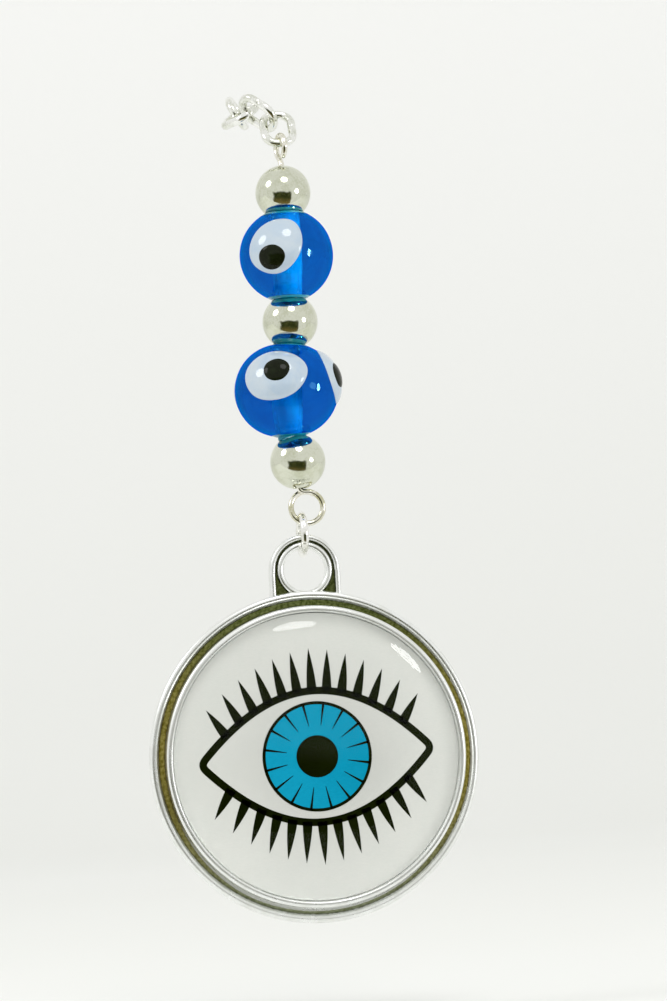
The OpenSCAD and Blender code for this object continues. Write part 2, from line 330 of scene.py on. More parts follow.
def glass(name, deep, light, rough=0.015, shade=(0.8, 0.9, 1.0), lumps=0.02, soft_pass=False, gloss=1.0, clear=1.0, ior=1.5, skin=None):
    """Coloured glass with streaks of thinner colour and a hand-worked surface; lamps' rays pass it tinted."""
    n = Nodes(name)
    streak = n.noise(n.mapped((0.5, 0.5, 0.12)), scale=1.0, detail=3, rough=0.55, dist=1.2)
    col = n.ramp(streak, [(0.32, deep), (0.68, light)])
    lump = n.noise(n.mapped(), scale=0.45, detail=2)
    seed = n.noise(n.mapped(), scale=7.0, detail=1)
    rr = n.span(seed, 0.6, 0.8, rough, rough + 0.05)
    p = n.principled(Base_Color=col, Transmission_Weight=clear, IOR=ior, Roughness=rr,
                     Specular_Tint=(gloss, gloss, gloss, 1), Normal=n.bump(lump, 0.4, lumps))
    if skin:
        # a deeper film of colour at the surface: it tints what the glass mirrors
        p.inputs["Coat Weight"].default_value = 1.0
        p.inputs["Coat IOR"].default_value = 1.0
        p.inputs["Coat Tint"].default_value = (*skin, 1)
    t = n.node("ShaderNodeBsdfTransparent")
    t.inputs["Color"].default_value = (*shade, 1)
    lp = n.node("ShaderNodeLightPath")
    m = n.node("ShaderNodeMixShader")
    if soft_pass:
        n.link(n.math("MAXIMUM", lp.outputs["Is Shadow Ray"], lp.outputs["Is Diffuse Ray"]), m.inputs[0])
    else:
        n.link(lp.outputs["Is Shadow Ray"], m.inputs[0])
    n.link(p.outputs[0], m.inputs[1])
    n.link(t.outputs[0], m.inputs[2])
    return n.done(m.outputs[0])


def enamel(name, base, tint, rough=(0.05, 0.12), scale=0.9, coat=0.6, spec=0.5):
    """Fused opaque glass: soft clouds of a second tone under a clear glossy skin."""
    n = Nodes(name)
    cloud = n.noise(n.mapped(), scale=scale, detail=4, rough=0.6, dist=0.8)
    fleck = n.noise(n.mapped(), scale=9.0, detail=2)
    f = n.math("ADD", n.math("MULTIPLY", cloud, 0.8), n.math("MULTIPLY", fleck, 0.2))
    col = n.ramp(f, [(0.34, tint), (0.6, base)])
    p = n.principled(Base_Color=col, Roughness=n.span(fleck, 0.3, 0.7, *rough),
                     Coat_Weight=coat, Coat_Roughness=0.03, Specular_IOR_Level=spec,
                     Normal=n.bump(cloud, 0.3, 0.02))
    return n.done(p.outputs[0])


def paper(name, base, dark, rough=0.6, coat=0.0, spec=0.1, middle=None):
    """Printed or plain card: fibres, a faint tooth and slow changes of tone."""
    n = Nodes(name)
    fib = n.noise(n.mapped((3.0, 3.0, 9.0)), scale=1.0, detail=5, rough=0.65, dist=0.4)
    slow = n.noise(n.mapped(), scale=0.12, detail=2)
    f = n.math("ADD", n.math("MULTIPLY", fib, 0.5), n.math("MULTIPLY", slow, 0.5))
    col = n.ramp(f, [(0.36, dark), (0.62, base)])
    if middle:
        # painted shade: the card's tone is scaled from 0.85 within 6 mm of its middle up to 1.03 at 13.5 mm
        away = n.node("ShaderNodeVectorMath", operation="DISTANCE")
        n.link(n.tc.outputs["Object"], away.inputs[0])
        away.inputs[1].default_value = tuple(PEND * MM)
        tone = n.node("ShaderNodeVectorMath", operation="SCALE")
        n.link(col, tone.inputs[0])
        n.link(n.span(away.outputs["Value"], 6.0 * MM, 13.5 * MM, *middle), tone.inputs["Scale"])
        col = tone.outputs[0]
    p = n.principled(Base_Color=col, Roughness=n.span(fib, 0.3, 0.7, rough - 0.06, rough + 0.06),
                     Coat_Weight=coat, Specular_IOR_Level=spec, Normal=n.bump(fib, 0.15, 0.01))
    return n.done(p.outputs[0])


M_CHAIN = plated("chain_silver", (0.93, 0.93, 0.90), (0.60, 0.62, 0.50), scratch=(14, 3, 3))
M_PIN = plated("pin_silver", (0.90, 0.88, 0.81), (0.44, 0.42, 0.20), scratch=(4, 4, 24))
M_BEAD = plated("bead_silver", (0.71, 0.725, 0.61), (0.53, 0.55, 0.40), rough=(0.05, 0.13), scratch=(10, 10, 2))
M_RING = plated("ring_silver", (0.95, 0.94, 0.92), (0.66, 0.66, 0.56), scratch=(3, 12, 12))
M_UP = glass("upper_blue_glass", (0.0, 0.115, 0.43), (0.0, 0.175, 0.54), shade=(0.56, 0.78, 0.84), gloss=0.5, skin=(0.3, 0.82, 1.0))
M_LOW = glass("lower_blue_glass", (0.0, 0.105, 0.43), (0.0, 0.160, 0.54), shade=(0.56, 0.78, 0.84), gloss=0.5, skin=(0.3, 0.82, 1.0))
M_MOUTH = glass("mouth_teal_glass", (0.0, 0.21, 0.32), (0.015, 0.30, 0.39), rough=0.05, shade=(0.5, 0.85, 0.95), lumps=0.06, gloss=0.6, clear=0.25)


def frosted(name, a, b):
    """The bore's skin: the white release powder that stays in a wound bead's hole."""
    n = Nodes(name)
    f = n.noise(n.mapped((1.0, 1.0, 0.5)), scale=1.3, detail=4, rough=0.6, dist=1.0)
    p = n.principled(Base_Color=n.ramp(f, [(0.32, a), (0.68, b)]), Roughness=n.span(f, 0.3, 0.7, 0.45, 0.7),
                     Transmission_Weight=n.span(f, 0.35, 0.65, 0.15, 0.5), IOR=1.35, Specular_IOR_Level=0.2,
                     Normal=n.bump(f, 0.5, 0.06))
    t = n.node("ShaderNodeBsdfTransparent")
    t.inputs["Color"].default_value = (0.8, 0.9, 1.0, 1)
    lp = n.node("ShaderNodeLightPath")
    m = n.node("ShaderNodeMixShader")
    n.link(lp.outputs["Is Shadow Ray"], m.inputs[0])
    n.link(p.outputs[0], m.inputs[1])
    n.link(t.outputs[0], m.inputs[2])
    return n.done(m.outputs[0])


M_CORE = frosted("bore_powder", (0.86, 0.97, 1.0), (0.97, 1.0, 1.0))
M_WHITE = enamel("eye_white_glass", (0.52, 0.595, 0.665), (0.42, 0.53, 0.66), scale=0.30)
M_PUPIL = enamel("eye_black_glass", (0.004, 0.006, 0.001), (0.009, 0.013, 0.004), scale=1.4, coat=0.0, spec=0.14)
# the card's ground carries painted shade, deeper towards its middle
M_CARD = paper("card_stock", (0.725, 0.722, 0.695), (0.68, 0.68, 0.655), middle=(0.85, 1.03))
M_INK = paper("print_black", (0.004, 0.006, 0.0005), (0.007, 0.011, 0.001), rough=0.7, spec=0.0)
M_IRIS = paper("print_blue", (0.006, 0.315, 0.51), (0.003, 0.27, 0.44), rough=0.7, spec=0.0)
M_GLUE = paper("adhesive_film", (0.60, 0.52, 0.34), (0.46, 0.38, 0.24), rough=0.3, coat=0.4)
M_DOME = glass("dome_clear_glass", (0.955, 0.975, 0.965), (0.985, 0.99, 0.985), rough=0.0, shade=(0.97, 0.98, 0.97), lumps=0.003, soft_pass=True, gloss=0.22)


def patina_and_shade_tray(name, light, dark):
    """The pendant's plate: polished on its rims, left with olive-brown patina in the sunk groove and web. Painted
    reflection and painted shade lie over that patina: dark olive at the top, lighter brown at the bottom, golden
    towards the sides, darker at the groove's edges and in the web.
    """
    n = Nodes(name)
    axis = [np.array(v) for v in to_pendant(np.array([(1.0, 0, 0), (0, 1.0, 0), (0, 0, 1.0), (0, 0, 0)], float))]
    zero = axis[3]
    rel = n.node("ShaderNodeVectorMath", operation="SUBTRACT")
    n.link(n.tc.outputs["Object"], rel.inputs[0])
    rel.inputs[1].default_value = tuple(zero * MM)
    comp = []
    for v in axis[:3]:
        d = n.node("ShaderNodeVectorMath", operation="DOT_PRODUCT")
        n.link(rel.outputs[0], d.inputs[0])
        d.inputs[1].default_value = tuple((v - zero) / MM)
        comp.append(d.outputs["Value"])
    x, z, h = comp
    ax = n.math("ABSOLUTE", x, 0.0)
    r = n.math("SQRT", n.math("ADD", n.math("MULTIPLY", x, x), n.math("MULTIPLY", z, z)), 0.0)
    zb = n.math("SUBTRACT", z, float(BAIL_Z))
    d = n.math("SQRT", n.math("ADD", n.math("MULTIPLY", x, x), n.math("MULTIPLY", zb, zb)), 0.0)
    broad = n.noise(n.mapped(), scale=0.55, detail=4, rough=0.6, dist=0.6)
    spots = n.noise(n.mapped(), scale=3.4, detail=4, rough=0.6)
    fine = n.noise(n.mapped((22, 2, 5), rot=(0.3, 0.5, 0.8)), scale=1.0, detail=5, rough=0.7)
    edge = n.math("MULTIPLY", n.math("SUBTRACT", spots, 0.5), 0.16)
    rr = n.math("ADD", r, edge)
    foot = n.span(n.math("DIVIDE", z, r), -0.35, -0.85, 0.0, 0.34)
    groove = n.math("MULTIPLY", n.span(n.math("SUBTRACT", rr, foot), 15.44, 15.52, 0.0, 1.0), n.span(rr, 16.12, 16.24, 1.0, 0.0))
    # painted shade: the groove darkens towards its two edges and stays lighter along its middle
    off = n.math("DIVIDE", n.math("SUBTRACT", rr, 15.82), 0.36)
    painted_edge_shade = n.math("SUBTRACT", 1.0, n.math("MULTIPLY", n.math("MINIMUM", n.math("MULTIPLY", off, off), 1.0), 0.62))
    groove = n.math("MULTIPLY", groove, n.math("MULTIPLY", n.span(h, 0.1, 0.25, 0.0, 1.0), n.span(h, 0.80, 1.05, 1.0, 0.0)))
    ah = n.math("ADD", n.math("ABSOLUTE", h, 0.0), edge)
    inside = n.math("MULTIPLY", n.span(ax, RO_B - 0.16, RO_B - 0.04, 1.0, 0.0), n.span(d, HOLE_R + 0.52, HOLE_R + 0.64, 0.0, 1.0))
    arch = n.math("MAXIMUM", n.span(d, RO_B - 0.16, RO_B - 0.04, 1.0, 0.0), n.span(zb, -0.1, 0.1, 1.0, 0.0))
    web = n.math("MULTIPLY", n.math("MULTIPLY", inside, arch), n.math("MULTIPLY", n.span(ah, 0.50, 0.62, 1.0, 0.0), n.span(r, 16.55, 16.7, 0.0, 1.0)))
    # the groove and web, where the patina and the painted reflection and shade are laid
    patina_and_shade_mask = n.math("MINIMUM", n.math("ADD", groove, web), 1.0)
    mixed = n.math("ADD", n.math("MULTIPLY", broad, 0.85), n.math("MULTIPLY", spots, 0.15))
    clean = n.ramp(mixed, [(0.28, dark), (0.62, light), (1.0, light)])
    # painted reflection: the groove's patina turns golden brown towards the left and right sides
    side = n.math("DIVIDE", ax, r)
    side = n.math("MULTIPLY", side, side)
    side = n.math("MULTIPLY", side, side)
    # painted reflection: the patina is painted dark olive towards the top and lighter brown towards the bottom
    up = n.span(n.math("DIVIDE", z, r), -0.9, 0.5, 0.0, 1.0)
    painted_top_bottom = n.node("ShaderNodeMix", data_type="RGBA")
    n.link(up, painted_top_bottom.inputs[0])
    n.link(n.ramp(spots, [(0.35, (0.16, 0.18, 0.09)), (0.65, (0.34, 0.37, 0.24))]), painted_top_bottom.inputs[6])
    n.link(n.ramp(spots, [(0.35, (0.055, 0.075, 0.010)), (0.65, (0.21, 0.24, 0.09))]), painted_top_bottom.inputs[7])
    painted_side_gold = n.node("ShaderNodeMix", data_type="RGBA")
    n.link(n.math("MULTIPLY", side, 0.95), painted_side_gold.inputs[0])
    n.link(painted_top_bottom.outputs[2], painted_side_gold.inputs[6])
    n.link(n.ramp(spots, [(0.35, (0.22, 0.175, 0.015)), (0.65, (0.56, 0.47, 0.13))]), painted_side_gold.inputs[7])
    # painted shade: the tone is scaled by the edge shade, and held at 0.70 in the bail's sunk web past r 16.5
    shaded = n.node("ShaderNodeVectorMath", operation="SCALE")
    n.link(painted_side_gold.outputs[2], shaded.inputs[0])
    n.link(n.math("MAXIMUM", painted_edge_shade, n.span(r, 16.4, 16.5, 0.0, 0.70)), shaded.inputs["Scale"])
    full = n.node("ShaderNodeMix", data_type="RGBA")
    n.link(patina_and_shade_mask, full.inputs[0])
    n.link(clean, full.inputs[6])
    n.link(shaded.outputs[0], full.inputs[7])
    rough = n.math("ADD", n.span(mixed, 0.3, 0.7, 0.34, 0.24), n.math("MULTIPLY", patina_and_shade_mask, 0.12))
    rough = n.math("ADD", rough, n.span(fine, 0.55, 0.8, 0.0, 0.08))
    hgt = n.math("ADD", n.math("MULTIPLY", fine, 0.25), n.noise(n.mapped(), scale=2.2, detail=2))
    p = n.principled(Base_Color=full.outputs[2], Metallic=1.0, Roughness=rough, Normal=n.bump(hgt, 0.35, 0.008))
    return n.done(p.outputs[0])


def finish_piece(ob, body, slot, *nodes):
    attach(ob, body)
    if nodes:
        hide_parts(*nodes)
    return ob


# ------------------------------------------------------------------ chain links
def link_path(d, w, c, n=18):
    """A link's centreline, starting in the middle of one side, where its soldered seam is."""
    side = HALF_ST + SEAT
    cr = ARC_R - SEAT
    pts = [(ARC_R, s) for s in np.linspace(0.0, side, 8)[:-1]]
    pts += arc(SEAT, side, cr, 0, 90, n)
    pts += arc(-SEAT, side, cr, 90, 180, n)
    pts += [(-ARC_R, s) for s in np.linspace(side, -side, 14)[1:-1]]
    pts += arc(-SEAT, -side, cr, 180, 270, n)
    pts += arc(SEAT, -side, cr, 270, 360, n)
    pts += [(ARC_R, s) for s in np.linspace(-side, 0.0, 8)[1:-1]]
    P = np.array([c + a * np.asarray(w) + b * np.asarray(d) for a, b in pts])
    return P


def build_link(name, d, w, c, seed):
    P = link_path(d, w, c)
    step = np.linalg.norm(np.roll(P, -1, 0) - P, axis=1)
    s = np.concatenate([[0], np.cumsum(step)[:-1]])
    L = step.sum()
    near = np.minimum(s, L - s)
    # the seam: a shallow filled groove, with the wire a hair thinner on each side of it
    R = CW * (1 - 0.10 * np.exp(-(near / 0.10) ** 2) + 0.012 * np.sin(s * 2.1 + seed) - 0.012)
    V, F = tube(P, R, closed=True, sides=32)
    ob = make(name, V, F)
    ob.data.materials.append(M_CHAIN)
    return outward(ob)


for i, (d, w, c) in enumerate([(d1, w1, c1), (d2, w2, c2), (d3, w3, c3), (d4, w4, c4)], 1):
    body = f"chain_link_{i}"
    finish_piece(build_link(f"link_{i}_wire", d, w, c, i * 1.3), body, "chain_metal", body)


# ------------------------------------------------------------------ eye pin: one bent wire
def bezier(p0, p1, p2, p3, n):
    t = np.linspace(0, 1, n)[:, None]
    return ((1 - t) ** 3 * p0 + 3 * (1 - t) ** 2 * t * p1 + 3 * (1 - t) * t ** 2 * p2 + t ** 3 * p3)


def pin_path():
    r = math.radians
    ax = np.array([math.cos(r(104)), math.sin(r(104)), 0])
    zt, rt = -0.4, 1.2
    up = [np.array([0, 0, zt]) + rt * (math.cos(r(a)) * ax + math.sin(r(a)) * np.array([0, 0, 1]))
          for a in np.linspace(240, -48, 60)]
    a = r(-48)
    t0 = math.sin(a) * ax - math.cos(a) * np.array([0, 0, 1])
    p0, p3 = up[-1], np.array([0, 0, -2.42])
    neck = bezier(p0, p0 + 0.42 * t0, p3 + np.array([0, 0, 0.42]), p3, 14)[1:]
    stem = [np.array([0, 0, z]) for z in np.linspace(-2.6, -35.7, 60)]
    # lower loop: runs down its right side, up its left side and on behind itself
    cen = np.array([LOOP_X, 0, LOOP_Z])

    def on_loop(deg, y, grow=0.0):
        return cen + np.array([(LOOP_R + grow) * math.cos(r(deg)), y, (LOOP_R + grow) * math.sin(r(deg))])

    loop = []
    for deg in np.linspace(92, -300, 130):
        k = (92 - deg) / 392
        late = max(0.0, (k - 0.55) / 0.45)
        loop.append(on_loop(deg, 0.60 * late * late * (3 - 2 * late), 0.02 * math.sin(k * 9)))
    l0, l1 = loop[0], loop[1]
    tl = unit(l1 - l0)
    s3 = np.array([0, 0, -35.75])
    bend = bezier(s3, s3 + np.array([0, 0, -0.45]), l0 - 0.42 * tl, l0, 14)[1:-1]
    path = np.array(up + list(neck) + stem + list(bend) + loop)
    keep = [0]
    for i in range(1, len(path)):
        if np.linalg.norm(path[i] - path[keep[-1]]) > 0.02:
            keep.append(i)
    return path[keep]


P = pin_path() + TOP
V, F = tube(P, PW, sides=28)
pin = outward(make("eye_pin_wire", V, F, sharp=50))
pin.data.materials.append(M_PIN)
finish_piece(pin, "eye_pin", "pin_metal", "eye_pin")


# ------------------------------------------------------------------ silver beads
def build_silver(name, z, seed):
    """A hollow-drawn round bead: small rolled lips at the two mouths and a soft seam ring there."""
    R, b = SILVER_R, SILVER_BORE
    a0 = math.degrees(math.asin((b + 0.16) / R))
    prof = arc(0, 0, R, 90 - a0, -(90 - a0), 96)
    zt = R * math.cos(math.radians(a0))
    lip = [(b + 0.13, -(zt + 0.004)), (b + 0.07, -(zt - 0.02)), (b + 0.02, -(zt - 0.07)), (b, -(zt - 0.16))]
    prof += lip
    prof += [(b, h) for h in np.linspace(-(zt - 0.3), zt - 0.3, 12)]
    prof += [(r, -h) for r, h in reversed(lip)]
    V, F = lathe(prof, seg=160)
    rad = np.linalg.norm(V, axis=1)
    mask = np.clip((np.hypot(V[:, 0], V[:, 1]) - b - 0.3) / 0.5, 0, 1)
    V = V * (1 + mask[:, None] * 0.0016 * smooth_noise(V[:, 0], V[:, 1], V[:, 2], seed)[:, None])
    ob = outward(make(name, V + TOP + np.array([0, 0, z]), F, sharp=60))
    ob.data.materials.append(M_BEAD)
    return ob


for i, nm in enumerate(["top", "middle", "bottom"]):
    body = f"silver_bead_{nm}"
    finish_piece(build_silver(f"{nm}_metal_ball", SILVER_Z[i], 1.0 + i), body, "bead_metal", body)


# ------------------------------------------------------------------ glass beads
def build_glass(name, centre, h, extra, xoff, d_up, d_down, mat, seed, lump, lip_up, lip_down):
    """A wound bead with dimpled mouths that seat the metal beads, rounded collars and a wide bore."""
    seg, rs = 192, SILVER_R + 0.07
    th = np.arange(seg) * 2 * math.pi / seg
    ct, st = np.cos(th), np.sin(th)

    def silver(r, d):          # the dimple's height where the metal bead sits
        x, y = xoff + r * ct, r * st
        return d - np.sqrt(np.maximum(rs * rs - x * x - y * y, 0.02))

    def ring(d):               # radius, all round, where the dimple meets the outside
        lo, hi = np.full(seg, BORE + 0.05), np.full(seg, 3.4)
        for _ in range(40):
            mid = (lo + hi) / 2
            body = h * np.sqrt(np.maximum(1 - (np.maximum(mid - extra, 0) / h) ** 2, 0))
            below = silver(mid, d) < body
            lo, hi = np.where(below, mid, lo), np.where(below, hi, mid)
        return (lo + hi) / 2

    rows, kinds = [], []
    for d, sign in ((d_up, 1), (d_down, -1)):
        rr = ring(d)
        part = []
        for k in np.linspace(0, 1, 12):
            r = BORE + (rr - BORE) * k
            part.append((r, sign * silver(r, d)))
        phi = np.arcsin(np.clip((rr - extra) / h, 0, 1))
        if sign == 1:
            top_part, phi_top = part, phi
        else:
            low_part, phi_low = part, phi
    for r, z in top_part[:-1]:
        rows.append((r, z)); kinds.append(2)
    n_out = 90
    for k in np.linspace(0, 1, n_out):
        phi = phi_top + (math.pi - phi_low - phi_top) * k
        # rounded collars just outside the mouths
        near_up = np.exp(-(((phi - phi_top) * h) / 0.42) ** 2)
        near_dn = np.exp(-(((math.pi - phi_low - phi) * h) / 0.42) ** 2)
        wob = 1 + 0.25 * np.sin(2 * th + seed) + 0.15 * np.sin(5 * th + 2 * seed)
        bulge = lip_up * near_up * wob + lip_down * near_dn * wob
        r = extra + (h + bulge) * np.sin(phi)
        z = (h + 0.35 * bulge) * np.cos(phi)
        x, y = r * ct, r * st
        dl = lump * smooth_noise(0.55 * x, 0.55 * y, 0.55 * z, seed) * (np.sin(phi) ** 1.0)
        rows.append((r + dl * np.sin(phi), z + dl * np.cos(phi))); kinds.append(2 if max(near_up.mean(), near_dn.mean()) > 0.30 else 0)
    for r, z in reversed(low_part[:-1]):
        rows.append((r, z)); kinds.append(2)
    zb, zt_ = low_part[0][1], top_part[0][1]
    n_bore = 14
    for k in np.linspace(0, 1, n_bore + 2)[1:-1]:
        z = zb + (zt_ - zb) * k
        r = np.full(seg, BORE) + 0.03 * np.sin(3 * z + seed) * np.sin(th * 2 + z) - 0.03
        rows.append((r, z)); kinds.append(1)
    verts = []
    for i in range(seg):
        for r, z in rows:
            verts.append((r[i] * ct[i], r[i] * st[i], z[i]))
    V = np.array(verts) + np.asarray(centre)
    m = len(rows)
    F = grid_faces(seg, m, True, True)
    ob = make(name, V, F, sharp=38)
    ob.data.materials.append(mat)
    ob.data.materials.append(M_CORE)
    ob.data.materials.append(M_MOUTH)
    idx = []
    for f in range(len(F)):
        j = f % m
        idx.append(kinds[j] if kinds[j] else kinds[(j + 1) % m] and 2)
    ob.data.polygons.foreach_set("material_index", idx)
    return outward(ob)


UP_C = TOP + np.array([0, 0, UP_Z])
LOW_C = TOP + np.array([LOW_X, 0, LOW_Z])
ub = build_glass("upper_blue_bead", UP_C, UP_R, 0.0, 0.0, SILVER_Z[0] - UP_Z, UP_Z - SILVER_Z[1], M_UP, 0.8, 0.035, 0.10, 0.12)
finish_piece(ub, "upper_glass_bead", "upper_glass", "upper_glass_bead")
lb = build_glass("lower_blue_bead", LOW_C, LOW_H, LOW_EX, LOW_X, SILVER_Z[1] - LOW_Z, LOW_Z - SILVER_Z[2], M_LOW, 2.1, 0.045, 0.10, 0.22)
finish_piece(lb, "lower_glass_bead", "lower_glass", "lower_glass_bead")


# ------------------------------------------------------------------ raised eyes on the glass beads
def surface_radius(h, extra, n):
    """How far the bead's outside is from its centre along unit directions n."""
    s = np.hypot(n[:, 0], n[:, 1])
    c = np.abs(n[:, 2])
    if extra == 0:
        return np.full(len(n), h)
    # |(s t - extra, c t)| = h
    b = s * extra
    return b + np.sqrt(np.maximum(b * b - (extra * extra - h * h), 0))


def eye_patch(name, centre, h, extra, az, el, a, b, turn, rise, sink, mat, egg=0.0, base=None, seed=0.0, dome_pow=0.62):
    """A raised lens that follows the bead: a by b mm half sizes, turned, thickest in the middle, with a tucked edge."""
    A, E = math.radians(az), math.radians(el)
    # az 0 faces -Y, el up
    c = np.array([math.sin(A) * math.cos(E), -math.cos(A) * math.cos(E), math.sin(E)])
    e1 = np.array([math.cos(A), math.sin(A), 0.0])
    e2 = np.cross(c, e1) * -1.0
    if e2[2] < 0:
        e2 = -e2
    n_r, n_t = 22, 96
    th = np.arange(n_t) * 2 * math.pi / n_t
    T = math.radians(turn)
    verts, top_rows, low_rows = [], [], []

    def ringpts(k, height):
        wob = 1 + 0.012 * np.sin(3 * th + seed) + 0.008 * np.sin(5 * th + 2 * seed)
        u = a * k * np.cos(th) * wob
        v = b * k * np.sin(th) * wob * (1 + egg * np.cos(th))
        x = u * math.cos(T) - v * math.sin(T)
        y = u * math.sin(T) + v * math.cos(T)
        rho = np.hypot(x, y)
        ang = rho / (h + extra * 0.7)
        safe = np.maximum(rho, 1e-9)
        dirn = (np.cos(ang)[:, None] * c + np.sin(ang)[:, None]
                * ((x / safe)[:, None] * e1 + (y / safe)[:, None] * e2))
        if base is None:
            rad = surface_radius(h, extra, dirn)
        else:
            rad = base(dirn)
        return centre + dirn * (rad + height)[:, None]

    ks = np.sin(np.linspace(0, math.pi / 2, n_r))
    top = ringpts(1e-6, np.full(n_t, rise))[0]
    verts.append(top)
    for k in ks[1:]:
        hgt = rise * max(1 - k ** 2.4, 0) ** dome_pow
        verts += list(ringpts(k, np.full(n_t, hgt)))
    for k, s in [(0.995, 0.35), (0.97, 0.75), (0.90, 1.0), (0.6, 1.0), (0.3, 1.0)]:
        verts += list(ringpts(k, np.full(n_t, -sink * s)))
    verts.append(ringpts(1e-6, np.full(n_t, -sink))[0])
    rows = n_r - 1 + 5
    F = []
    for j in range(n_t):
        F.append((0, 1 + j, 1 + (j + 1) % n_t))
    for i in range(rows - 1):
        for j in range(n_t):
            p = 1 + i * n_t + j
            q = 1 + i * n_t + (j + 1) % n_t
            F.append((p, p + n_t, q + n_t, q))
    last = 1 + rows * n_t
    for j in range(n_t):
        F.append((last, 1 + (rows - 1) * n_t + (j + 1) % n_t, 1 + (rows - 1) * n_t + j))
    ob = outward(make(name, np.array(verts), F, sharp=70))
    ob.data.materials.append(mat)

    def height_base(dirn):
        """The outside of this lens along unit directions, for a pupil that sits on it."""
        z = dirn @ c
        x, y = dirn @ e1, dirn @ e2
        ang = np.arccos(np.clip(z, -1, 1))
        rho = ang * (h + extra * 0.7)
        s = np.maximum(np.hypot(x, y), 1e-9)
        px, py = rho * x / s, rho * y / s
        u = px * math.cos(T) + py * math.sin(T)
        v = -px * math.sin(T) + py * math.cos(T)
        k = np.hypot(u / a, v / b)
        return surface_radius(h, extra, dirn) + rise * np.maximum(1 - np.minimum(k, 1) ** 2.4, 0) ** dome_pow

    return ob, height_base


def add_eye(which, pos, centre, h, extra, white, pupil):
    ob, base = eye_patch(f"{which}_{pos}_white_glass", centre, h, extra, sink=0.16, mat=M_WHITE, **white)
    finish_piece(ob, f"{which}_glass_bead", "eye_white", f"{which}_white_{pos}")
    ob, _ = eye_patch(f"{which}_{pos}_black_glass", centre, h, extra, sink=0.10, mat=M_PUPIL, base=base, **pupil)
    finish_piece(ob, f"{which}_glass_bead", "eye_pupil", f"{which}_pupil_{pos}")


add_eye("upper", "front", UP_C, UP_R, 0.0,
        dict(az=-21.6, el=8.6, a=3.30, b=2.84, turn=50, rise=0.24, egg=-0.07, seed=0.4),
        dict(az=-25.6, el=-7.8, a=1.38, b=1.25, turn=10, rise=0.15, seed=1.0))
add_eye("upper", "right", UP_C, UP_R, 0.0,
        dict(az=122, el=6, a=3.1, b=2.7, turn=70, rise=0.24, egg=0.05, seed=2.4),
        dict(az=118, el=0, a=1.32, b=1.24, turn=-20, rise=0.15, seed=3.0))
add_eye("upper", "left", UP_C, UP_R, 0.0,
        dict(az=-140, el=10, a=3.0, b=2.75, turn=-40, rise=0.24, egg=0.05, seed=4.4),
        dict(az=-137, el=5, a=1.30, b=1.24, turn=40, rise=0.15, seed=5.0))
add_eye("lower", "front", LOW_C, LOW_H, LOW_EX,
        dict(az=-21.0, el=16.2, a=3.45, b=2.80, turn=3, rise=0.40, egg=-0.05, seed=6.4),
        dict(az=-17.2, el=18.0, a=1.24, b=1.13, turn=8, rise=0.14, seed=7.0))
add_eye("lower", "right", LOW_C, LOW_H, LOW_EX,
        dict(az=80, el=15.5, a=3.15, b=2.85, turn=80, rise=0.40, egg=0.05, seed=8.4),
        dict(az=70, el=12.5, a=1.24, b=1.16, turn=60, rise=0.14, seed=9.0))
add_eye("lower", "left", LOW_C, LOW_H, LOW_EX,
        dict(az=-137, el=4, a=3.1, b=2.8, turn=-30, rise=0.40, egg=0.05, seed=10.4),
        dict(az=-134, el=8, a=1.26, b=1.20, turn=10, rise=0.14, seed=11.0))


# ------------------------------------------------------------------ jump ring
def ring_path():
    cen = TOP + np.array([RING_X, 0, RING_Z])
    pts = []
    gap = 1.3                     # degrees: the hairline between the two cut ends
    for a in np.linspace(205 + gap, 205 + 360 - gap, 150):
        t = math.radians(a)
        shift = 0.05 * ((a - 205) / 360 - 0.5)
        pts.append(cen + np.array([shift, RING_R * math.cos(t), RING_R * math.sin(t)]))
    return np.array(pts)


V, F = tube(ring_path(), RW, sides=36)
jr = outward(make("jump_ring_wire", V, F, sharp=50))
jr.data.materials.append(M_RING)
finish_piece(jr, "jump_ring", "ring_metal", "jump_ring")


# ------------------------------------------------------------------ bezel with its bail
bez = [(0, PLATE_BACK)]
bez += [(r, PLATE_BACK) for r in (4, 8, 12, 15.5)]
bez += arc(BEZ_R - 0.4, PLATE_BACK + 0.4, 0.4, -90, 0, 10)
bez += [(BEZ_R, 0.1), (BEZ_R, 0.3)]
bez += arc(BEZ_R - 0.42, 0.5, 0.42, 0, 150, 22)
bez += [(16.16, 0.60), (16.08, 0.50), (15.98, FLOOR_H), (15.74, 0.43), (15.54, FLOOR_H), (15.48, 0.52), (15.46, 0.8), (15.46, 1.3), (15.46, 1.8)]
bez += arc(SEAT_R + 0.32, 2.0, 0.34, 0, 90, 12)
bez += arc(SEAT_R + 0.22, 2.12, 0.22, 90, 180, 10)
bez += [(SEAT_R, 1.8), (SEAT_R, 1.2), (SEAT_R, 0.6), (SEAT_R - 0.05, FLOOR_H + 0.02)]
bez += [(r, FLOOR_H + 0.01 * math.sin(r)) for r in (13, 9, 5)]
bez += [(0, FLOOR_H)]
V, F = lathe(bez, seg=320, closed=False)
bezel = outward(make("bezel_tray", to_pendant(V), F))

RO_B = BAIL_R - 0.37
M_BEZEL = patina_and_shade_tray("bezel_silver", (0.93, 0.94, 0.93), (0.78, 0.79, 0.75))


